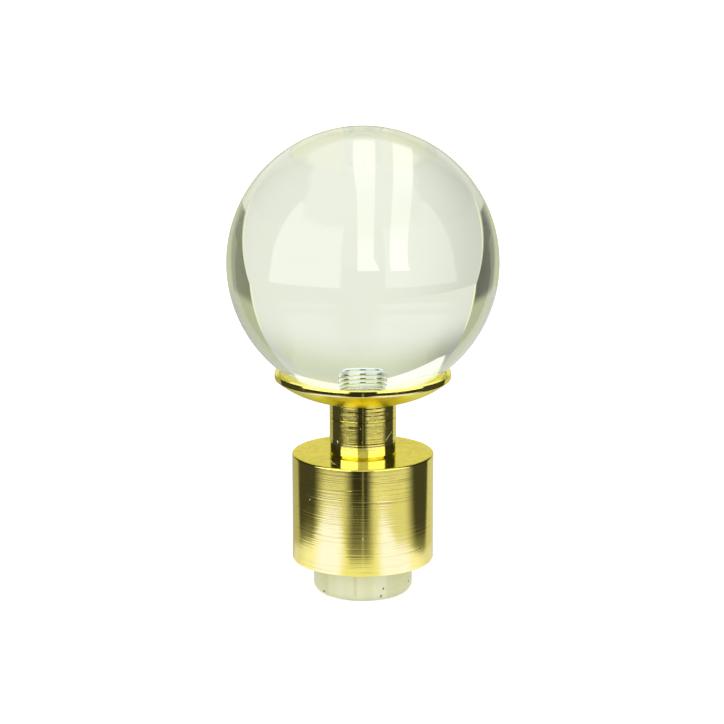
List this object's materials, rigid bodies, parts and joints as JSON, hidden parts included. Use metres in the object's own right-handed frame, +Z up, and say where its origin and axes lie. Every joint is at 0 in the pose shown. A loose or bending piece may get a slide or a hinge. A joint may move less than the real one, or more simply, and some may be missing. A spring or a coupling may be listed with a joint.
{
  "type": "curtain pole finial",
  "caption": "Finial that closes the end of a curtain pole: a clear ball in a brass dish, on a turned neck and collar with a push-in plug.",
  "frame": {"origin": "on the axis, at the plug's foot, which it stands on", "axes": "+Z up along the axis, from the plug to the ball; -Y towards the viewer of the picture; the part is round about Z"},
  "size_m": [0.05, 0.05, 0.0872],
  "materials": {
    "clear_glass": "clear, polished, with a faint green cast",
    "polished_brass": "polished to a mirror",
    "turned_brass": "turned, with coarse tool marks around it",
    "brushed_brass": "brushed around the axis, with a smooth top face",
    "milky_plastic": "moulded, milky and slightly see-through",
    "zinc_steel": "bright zinc plating"
  },
  "bodies": {
    "root": {"glass_ball": "clear_glass", "dish": "polished_brass", "neck": "turned_brass", "collar": "brushed_brass", "plug": "milky_plastic", "tie_screw": "zinc_steel", "washer": "zinc_steel"}
  },
  "joints": []
}
